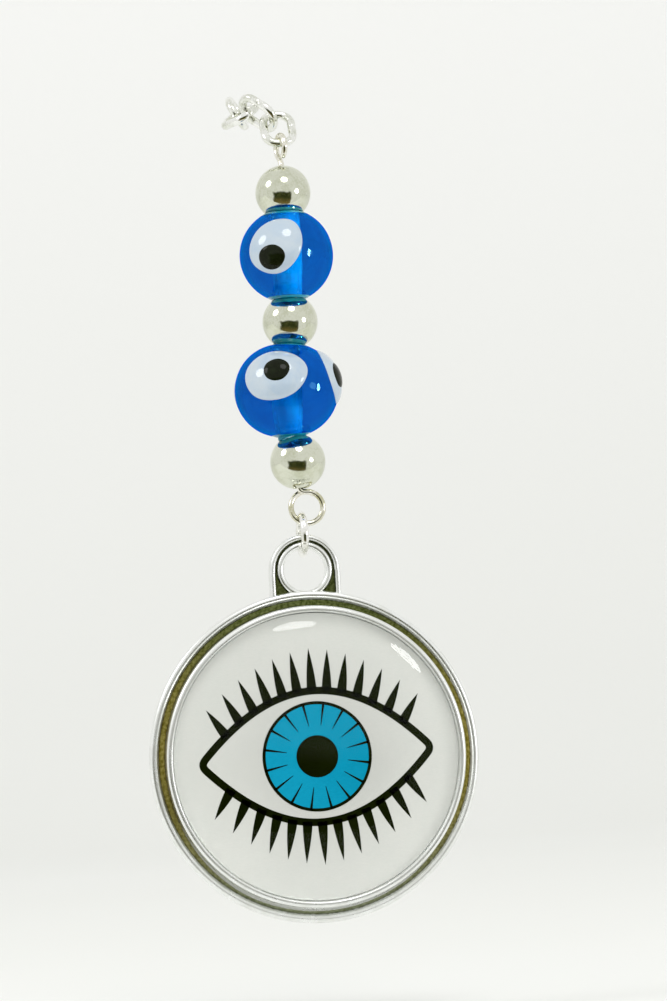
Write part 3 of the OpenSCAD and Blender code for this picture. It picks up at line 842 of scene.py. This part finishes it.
def oval_tube(path2d, rx, rh, closed, sides=32):
    """A rounded rim along a flat path (right, up), rx wide on each side and rh deep."""
    P = np.array(path2d, float)
    n = len(P)
    T = np.roll(P, -1, 0) - np.roll(P, 1, 0)
    if not closed:
        T[0], T[-1] = P[1] - P[0], P[-1] - P[-2]
    T /= np.linalg.norm(T, axis=1)[:, None]
    N = np.stack([T[:, 1], -T[:, 0]], 1)
    verts = []
    for p, nn in zip(P, N):
        for j in range(sides):
            a = 2 * math.pi * j / sides
            ca, sa = math.cos(a), math.sin(a)
            # a rounded section with flat enough sides to look cast
            k = (abs(ca) ** 2.4 + abs(sa) ** 2.4) ** (-1 / 2.4)
            verts.append((p[0] + nn[0] * rx * ca * k, p[1] + nn[1] * rx * ca * k, rh * sa * k))
    F = grid_faces(n, sides, closed, True)
    if not closed:
        F.append(tuple(reversed(range(sides))))
        F.append(tuple((n - 1) * sides + j for j in range(sides)))
    return np.array(verts), F


# inner rim of the bail
inner = [(HOLE_R + 0.42, a) for a in np.linspace(0, 360, 128, endpoint=False)]
inner = [(r * math.cos(math.radians(a)), BAIL_Z + r * math.sin(math.radians(a))) for r, a in inner]
V, F = oval_tube(inner, 0.42, 0.75, True)
b_in = outward(make("bail_inner", to_pendant(V), F))
# outer rim: round the top and straight down into the tray's rim on both sides
ro = RO_B
outer = [(-ro - 0.03, z) for z in np.linspace(16.35, BAIL_Z - 0.3, 14)]
outer += [(ro * math.cos(math.radians(a)), BAIL_Z + ro * math.sin(math.radians(a))) for a in np.linspace(180, 0, 90)]
outer += [(ro + 0.03, z) for z in np.linspace(BAIL_Z - 0.3, 16.35, 14)]
V, F = oval_tube(outer, 0.37, 0.75, False)
b_out = outward(make("bail_outer", to_pendant(V), F))
# the sunk web between the two rims
web = [(-ro, 16.2)] + [(-ro, z) for z in np.linspace(16.4, BAIL_Z, 8)]
web += [(ro * math.cos(math.radians(a)), BAIL_Z + ro * math.sin(math.radians(a))) for a in np.linspace(176, 4, 60)]
web += [(ro, z) for z in np.linspace(BAIL_Z, 16.4, 8)] + [(ro, 16.2)]
hole = [((HOLE_R + 0.35) * math.cos(math.radians(a)), BAIL_Z + (HOLE_R + 0.35) * math.sin(math.radians(a))) for a in np.linspace(0, 360, 96, endpoint=False)]


def plate_with_hole(out, centre, hole_r, z0, z1, n=160):
    """A flat web with a round hole, as matching rings of points seen from the hole's centre."""
    O = np.array(out)
    ang = np.linspace(-math.pi, math.pi, n, endpoint=False)
    pts_o, pts_i = [], []
    for a in ang:
        d = np.array([math.cos(a), math.sin(a)])
        best = None
        for i in range(len(O)):
            p, q = O[i] - centre, O[(i + 1) % len(O)] - centre
            e = q - p
            den = d[0] * e[1] - d[1] * e[0]
            if abs(den) < 1e-12:
                continue
            t = (p[0] * e[1] - p[1] * e[0]) / den
            s = (p[0] * d[1] - p[1] * d[0]) / den
            if t > 0 and -1e-9 <= s <= 1 + 1e-9 and (best is None or t > best):
                best = t
        pts_o.append(centre + d * best)
        pts_i.append(centre + d * hole_r)
    V = []
    for i in range(n):
        V += [(pts_o[i][0], pts_o[i][1], z0), (pts_o[i][0], pts_o[i][1], z1),
              (pts_i[i][0], pts_i[i][1], z1), (pts_i[i][0], pts_i[i][1], z0)]
    return np.array(V), grid_faces(n, 4, True, True)


V, F = plate_with_hole(web, np.array([0, BAIL_Z]), HOLE_R + 0.35, -0.40, 0.36)
b_web = outward(make("bail_web", to_pendant(V), F))


def unite(base, *others):
    for o in others:
        m = base.modifiers.new("join", "BOOLEAN")
        m.operation = "UNION"
        m.solver = "EXACT"
        m.object = o
        bpy.context.view_layer.update()
        dg = bpy.context.evaluated_depsgraph_get()
        me = bpy.data.meshes.new_from_object(base.evaluated_get(dg))
        base.modifiers.clear()
        base.data = me
        bpy.data.objects.remove(o)
    return base


unite(bezel, b_out, b_in, b_web)
bezel.data.name = "bezel_tray"
bezel.data.polygons.foreach_set("use_smooth", [True] * len(bezel.data.polygons))
bezel.data.set_sharp_from_angle(angle=math.radians(32))
bezel.data.materials.clear()
bezel.data.materials.append(M_BEZEL)
finish_piece(bezel, "pendant", "bezel_metal", "pendant_bezel")


# ------------------------------------------------------------------ adhesive, card, dome
def disc(name, r, h0, h1, edge, mat):
    prof = [(0, h0)] + [(r * k, h0) for k in (0.3, 0.6, 0.9)] + arc(r - edge, h0 + edge, edge, -90, 0, 4)
    prof += arc(r - edge, h1 - edge, edge, 0, 90, 4) + [(r * k, h1) for k in (0.9, 0.6, 0.3)] + [(0, h1)]
    V, F = lathe(prof, seg=160, closed=False)
    ob = outward(make(name, to_pendant(V), F, sharp=40))
    ob.data.materials.append(mat)
    return ob


glue = disc("adhesive_film_disc", DOME_R - 0.3, FLOOR_H + 0.012, CARD_H - 0.002, 0.03, M_GLUE)
finish_piece(glue, "pendant", "adhesive", "adhesive_pad")
card = disc("card_disc", DOME_R - 0.08, CARD_H, GLASS_H + 0.03, 0.03, M_CARD)
finish_piece(card, "pendant", "card", "printed_card")



def dome_h(r):
    """Height of the dome over its radius: a broad flat crown that turns down near the edge."""
    return EDGE_H + DOME_RISE - 0.00933 * r * r - 0.469 * (r / 13.4) ** 8


prof = [(0, GLASS_H)] + [(r, GLASS_H) for r in (5, 10, 13.5)]
prof += arc(DOME_R - 0.15, GLASS_H + 0.15, 0.15, -90, 0, 5)
prof += [(DOME_R, h) for h in (1.2, 1.4, 1.6)]
top_edge = dome_h(14.55)
prof += [(DOME_R, top_edge - 0.14), (DOME_R - 0.02, top_edge - 0.08), (DOME_R - 0.07, top_edge - 0.03)]
prof += [(r, dome_h(r)) for r in 14.55 * np.sin(np.linspace(math.pi / 2, 0.012, 110))]
prof += [(0, EDGE_H + DOME_RISE)]
V, F = lathe(prof, seg=256, closed=False)
dome = outward(make("clear_dome", to_pendant(V), F, sharp=50))
dome.data.materials.append(M_DOME)
finish_piece(dome, "pendant", "dome_glass", "glass_dome")


# ------------------------------------------------------------------ the print: a plain eye, every stroke by rule
INK_H = GLASS_H + 0.03
TURN = math.radians(1.5)
PX = np.array([math.cos(TURN), math.sin(TURN)])
PY = np.array([-math.sin(TURN), math.cos(TURN)])
EYE_W, EYE_H, BAND = 11.2, 6.2, 0.75


def on_print(P):
    P = np.asarray(P, float)
    return P[:, :1] * PX + P[:, 1:2] * PY


def slab(name, polys, h0, h1, mat):
    """Thin closed pieces of ink from strips: each strip is a list of (left, right) pairs, closed or not."""
    verts, faces = [], []
    for pairs, closed in polys:
        s = len(verts)
        n = len(pairs)
        for l, r in pairs:
            L, Rr = on_print([l])[0], on_print([r])[0]
            verts += [(L[0], L[1], h0), (Rr[0], Rr[1], h0), (Rr[0], Rr[1], h1), (L[0], L[1], h1)]
        for i in range(n if closed else n - 1):
            a, b = s + 4 * i, s + 4 * ((i + 1) % n)
            for k in range(4):
                k2 = (k + 1) % 4
                faces.append((a + k, a + k2, b + k2, b + k))
        if not closed:
            faces.append((s + 3, s + 2, s + 1, s))
            e = s + 4 * (n - 1)
            faces.append((e, e + 1, e + 2, e + 3))
    ob = outward(make(name, to_pendant(np.array(verts)), faces, smooth=False))
    ob.data.materials.append(mat)
    return ob


def round_slab(name, centre, r, h0, h1, mat, seg=128):
    c = np.array(centre)
    verts = []
    for k in (0.0001, 0.5, 1.0):
        for h in (h0, h1):
            pass
    ring = [c + r * np.array([math.cos(2 * math.pi * i / seg), math.sin(2 * math.pi * i / seg)]) for i in range(seg)]
    Q = on_print(ring)
    C = on_print([c])[0]
    verts = [(q[0], q[1], h0) for q in Q] + [(q[0], q[1], h1) for q in Q] + [(C[0], C[1], h0), (C[0], C[1], h1)]
    F = []
    for i in range(seg):
        k = (i + 1) % seg
        F += [(i, k, seg + k, seg + i), (2 * seg, k, i), (2 * seg + 1, seg + i, seg + k)]
    ob = outward(make(name, to_pendant(np.array(verts)), F, smooth=False))
    ob.data.materials.append(mat)
    return ob


def lid(x):
    """Half height of the eye's opening: a plain almond between two equal arcs."""
    return EYE_H * np.clip(1.0 - (np.abs(x) / EYE_W) ** 2, 0.0, 1.0)


def opening():
    """The opening's outline as a closed, evenly spaced loop."""
    xs = -EYE_W * np.cos(np.linspace(0, math.pi, 220))
    pts = np.array([(x, lid(x)) for x in xs] + [(x, -lid(x)) for x in xs[::-1]][1:-1])
    P = np.vstack([pts, pts[:1]])
    s = np.concatenate([[0], np.cumsum(np.linalg.norm(np.diff(P, axis=0), axis=1))])
    t = np.linspace(0, s[-1], 520, endpoint=False)
    Q = np.stack([np.interp(t, s, P[:, 0]), np.interp(t, s, P[:, 1])], 1)
    for _ in range(10):
        Q = 0.5 * Q + 0.25 * (np.roll(Q, 1, 0) + np.roll(Q, -1, 0))
    return Q


O = opening()
T = np.roll(O, -1, 0) - np.roll(O, 1, 0)
T /= np.linalg.norm(T, axis=1)[:, None]
N = np.stack([-T[:, 1], T[:, 0]], 1)
if (O * N).sum() < 0:
    N = -N
strips = [([(O[i], O[i] + N[i] * BAND) for i in range(len(O))], True)]


def lash(x0, angle, length, sign, n=24):
    """A straight lash that tapers from the band to a point."""
    p0 = np.array([x0, float(lid(x0)) + BAND * 0.45])
    d = np.array([math.sin(angle), math.cos(angle)])
    m = np.array([-d[1], d[0]])
    flip = np.array([1, sign])
    out = []
    for t in np.linspace(0, 1, n):
        q = p0 + d * length * t
        w = max(0.98 * (1 - t ** 1.7), 0.02)
        out.append(((q + m * w / 2) * flip, (q - m * w / 2) * flip))
    return out


SIDE_LASHES = 6
for sign in (1, -1):
    for k in range(-SIDE_LASHES, SIDE_LASHES + 1):
        strips.append((lash(1.48 * k, math.radians(5.5 * k), 4.3 - 0.16 * abs(k), sign), False))

ink = slab("print_lids_and_lashes", strips, INK_H - 0.012, INK_H + 0.014, M_INK)
finish_piece(ink, "pendant", "card")

IRIS_R, PUP_R, SPOKES = 5.5, 2.1, 16
blue = round_slab("print_iris", (0.0, 0.0), IRIS_R, INK_H - 0.012, INK_H + 0.018, M_IRIS)
finish_piece(blue, "pendant", "card")
spokes = []
for k in range(SPOKES):
    a = 2 * math.pi * (k + 0.5) / SPOKES
    d = np.array([math.cos(a), math.sin(a)])
    m = np.array([-d[1], d[0]])
    row = []
    for t in np.linspace(0, 1, 12):
        w = 0.03 + 0.11 * t
        q = d * (3.1 + (IRIS_R - 0.1 - 3.1) * t)
        row.append((q + m * w, q - m * w))
    spokes.append((row, False))
rim = []
for i in range(160):
    a = 2 * math.pi * i / 160
    d = np.array([math.cos(a), math.sin(a)])
    rim.append((d * (IRIS_R - 0.3), d * (IRIS_R + 0.01)))
spokes.append((rim, True))
sp = slab("print_iris_spokes", spokes, INK_H + 0.010, INK_H + 0.026, M_INK)
finish_piece(sp, "pendant", "card")
pu = round_slab("print_pupil", (0.0, 0.0), PUP_R, INK_H + 0.010, INK_H + 0.032, M_INK)
finish_piece(pu, "pendant", "card")


# ------------------------------------------------------------------ studio
def stage_mat(name, a, b, scale=4.0):
    """Matt seamless paper, painted a little lighter towards its top: painted light."""
    n = Nodes(name)
    f = n.noise(n.mapped((0.001, 0.001, 0.001)), scale=scale, detail=2)
    col = n.ramp(f, [(0.3, a), (0.7, b)])
    sep = n.node("ShaderNodeSeparateXYZ")
    n.link(n.tc.outputs["Object"], sep.inputs[0])
    # painted light: the sweep fades to near white between 0.05 m below and 0.24 m above its origin
    up = n.span(sep.outputs["Z"], -0.05, 0.24, 0.0, 1.0)
    mix = n.node("ShaderNodeMix", data_type="RGBA")
    n.link(up, mix.inputs[0])
    n.link(col, mix.inputs[6])
    mix.inputs[7].default_value = (1.0, 1.0, 0.998, 1)
    p = n.principled(Base_Color=mix.outputs[2], Roughness=0.9, Specular_IOR_Level=0.1)
    return n.done(p.outputs[0])


FLOOR_Z = PEND[2] - BEZ_R - 10.0
FRONT = PEND[1] - 62.0
prof = [(y, FLOOR_Z) for y in (FRONT, 50.0, 300.0, 620.0)]
for t in np.linspace(0, 90, 24):
    a = math.radians(t)
    prof.append((620 + 420 * math.sin(a), FLOOR_Z + 420 * (1 - math.cos(a))))
prof.append((1040.0, FLOOR_Z + 1500))
xs = np.linspace(-1500, 1500, 5)
V = [(x, y, z) for y, z in prof for x in xs]
F = grid_faces(len(prof), len(xs), False, False)
floor = make("studio_sweep", V, F)
M_SWEEP = stage_mat("pale_sweep", (0.88, 0.885, 0.865), (0.895, 0.90, 0.885))
floor.data.materials.append(M_SWEEP)
V = [(x, y, FLOOR_Z) for y in (-1000.0, -500.0, FRONT) for x in xs]
front = make("studio_front", V, grid_faces(3, len(xs), False, False))
front.data.materials.append(M_SWEEP)
front.visible_glossy = False

CAM_POS = TOP + np.array([-50.447114, -383.956920, -61.154934])
CR = np.array([0.98920639, -0.13555055, -0.05564857])
CU = np.array([0.04672933, -0.06811797, 0.99658232])
CB = np.array([-0.13887795, -0.98842602, -0.06104854])
AIM = TOP + np.array([-0.8, 0.0, -39.0])


def toward(x, y, z, dist):
    return AIM + unit(x * CR + y * CU + z * CB) * dist


def lamp(name, pos, power, radius, color=(1, 1, 1)):
    li = bpy.data.lights.new(name, "AREA")
    li.shape = "DISK"
    li.size = 2 * radius * MM
    li.energy = power
    li.color = color
    ob = bpy.data.objects.new(name, li)
    bpy.context.scene.collection.objects.link(ob)
    ob.location = Vector(pos * MM)
    ob.rotation_euler = (Vector(AIM * MM) - ob.location).to_track_quat("-Z", "Y").to_euler()
    return ob


all_but_dome = bpy.data.collections.new("all_but_dome")
all_but_dome.objects.link(dome)
all_but_dome.collection_objects[0].light_linking.link_state = "EXCLUDE"
for li in (lamp("lamp_left", toward(-0.805, 0.529, 0.270, 760), 0.9, 140),
           lamp("lamp_top", toward(0.083, 0.828, 0.556, 760), 1.0, 150),
           lamp("lamp_right", toward(0.860, 0.131, 0.493, 760), 0.6, 100)):
    li.light_linking.receiver_collection = all_but_dome


def sparkle(name, pos, target, along, rx, ry, power, ob):
    """An oval lamp that only one piece of glass sees, for its highlight."""
    li = bpy.data.lights.new(name, "AREA")
    li.shape = "ELLIPSE"
    li.size, li.size_y = 2 * rx * MM, 2 * ry * MM
    li.energy = power
    o = bpy.data.objects.new(name, li)
    bpy.context.scene.collection.objects.link(o)
    zz = unit(np.asarray(pos) - np.asarray(target))
    xx = np.asarray(along, float)
    xx = unit(xx - (xx @ zz) * zz)
    yy = np.cross(zz, xx)
    o.matrix_world = Matrix(((xx[0], yy[0], zz[0], pos[0] * MM), (xx[1], yy[1], zz[1], pos[1] * MM),
                             (xx[2], yy[2], zz[2], pos[2] * MM), (0, 0, 0, 1)))
    only = bpy.data.collections.new(name + "_on")
    only.objects.link(ob)
    o.light_linking.receiver_collection = only


sparkle("dome_lamp_top", TOP + np.array([12.9, -402.8, 642.4]), PEND, (1, 0, 0), 120, 80, 2.2, dome)
sparkle("dome_lamp_corner", TOP + np.array([588.9, -298.1, 412.1]), PEND, (-0.705, 0, 0.71), 108, 86, 2.2, dome)
sparkle("upper_bead_lamp", TOP + np.array([590.7, -484.8, -5.2]), UP_C, (1, 0, 0), 50, 105, 6.0, ub)
sparkle("lower_bead_lamp", TOP + np.array([703.8, -296.3, -27.8]), LOW_C, (1, 0, 0), 50, 105, 6.0, lb)

# a dark card before the object, as the room is behind a photographer; it only shows in reflections
def card_dir(az, el):
    a, e = math.radians(az), math.radians(el)
    return math.sin(a) * math.cos(e) * CR + math.sin(e) * CU + math.cos(a) * math.cos(e) * CB


nu, nv = 17, 13
V = [AIM + card_dir(-47 + 86 * i / (nu - 1), 7 - 66 * j / (nv - 1)) * 760 for j in range(nv) for i in range(nu)]
room = make("dark_room_card", V, grid_faces(nv, nu, False, False))
n = Nodes("dark_room")
f = n.noise(n.mapped((0.001, 0.001, 0.001)), scale=5.0, detail=2)
wave = n.math("MULTIPLY", n.math("SUBTRACT", n.noise(n.mapped((0.001, 0.001, 0.001)), scale=2.6, detail=3), 0.5), 0.34)
rel = n.node("ShaderNodeVectorMath", operation="SUBTRACT")
n.link(n.tc.outputs["Object"], rel.inputs[0])
rel.inputs[1].default_value = tuple(AIM * MM)
uv = []
for axis in (CR, CU):
    dn = n.node("ShaderNodeVectorMath", operation="DOT_PRODUCT")
    n.link(rel.outputs[0], dn.inputs[0])
    dn.inputs[1].default_value = tuple(axis / 0.76)
    uv.append(n.math("ADD", dn.outputs["Value"], wave))
col = n.ramp(f, [(0.35, (0.020, 0.026, 0.006)), (0.65, (0.065, 0.070, 0.022))])
warm = n.node("ShaderNodeMix", data_type="RGBA")
n.link(n.span(uv[1], -0.35, -0.80, 0.0, 1.0), warm.inputs[0])
n.link(col, warm.inputs[6])
warm.inputs[7].default_value = (0.26, 0.19, 0.06, 1)
em = n.node("ShaderNodeEmission")
n.link(warm.outputs[2], em.inputs["Color"])
em.inputs["Strength"].default_value = 1.0
clear = n.node("ShaderNodeBsdfTransparent")
solid = n.math("MULTIPLY", n.math("MULTIPLY", n.span(uv[0], 0.62, 0.50, 0.0, 1.0), n.span(uv[0], -0.72, -0.60, 0.0, 1.0)),
               n.math("MULTIPLY", n.span(uv[1], 0.10, 0.0, 0.0, 1.0), n.span(uv[1], -0.84, -0.74, 0.0, 1.0)))
both = n.node("ShaderNodeMixShader")
n.link(solid, both.inputs[0])
n.link(clear.outputs[0], both.inputs[1])
n.link(em.outputs[0], both.inputs[2])
room.data.materials.append(n.done(both.outputs[0]))
room.visible_camera = False
room.visible_transmission = False
room.visible_diffuse = False
room.visible_shadow = False

w = bpy.data.worlds.new("pale_room")
bpy.context.scene.world = w
w.use_nodes = True
bg = w.node_tree.nodes["Background"]
bg.inputs[0].default_value = (0.995, 1.0, 0.975, 1)
bg.inputs[1].default_value = 0.86

cam_data = bpy.data.cameras.new("camera")
cam_data.lens = 135
cam_data.sensor_fit = "VERTICAL"
cam_data.sensor_width = 36
cam_data.sensor_height = 36
cam_data.clip_start = 0.01
cam_data.clip_end = 20
cam = bpy.data.objects.new("camera", cam_data)
bpy.context.scene.collection.objects.link(cam)
m4 = Matrix(((CR[0], CU[0], CB[0], CAM_POS[0] * MM),
             (CR[1], CU[1], CB[1], CAM_POS[1] * MM),
             (CR[2], CU[2], CB[2], CAM_POS[2] * MM),
             (0, 0, 0, 1)))
cam.matrix_world = m4
bpy.context.scene.camera = cam
bpy.context.scene.view_settings.view_transform = "Standard"
bpy.context.scene.view_settings.look = "None"
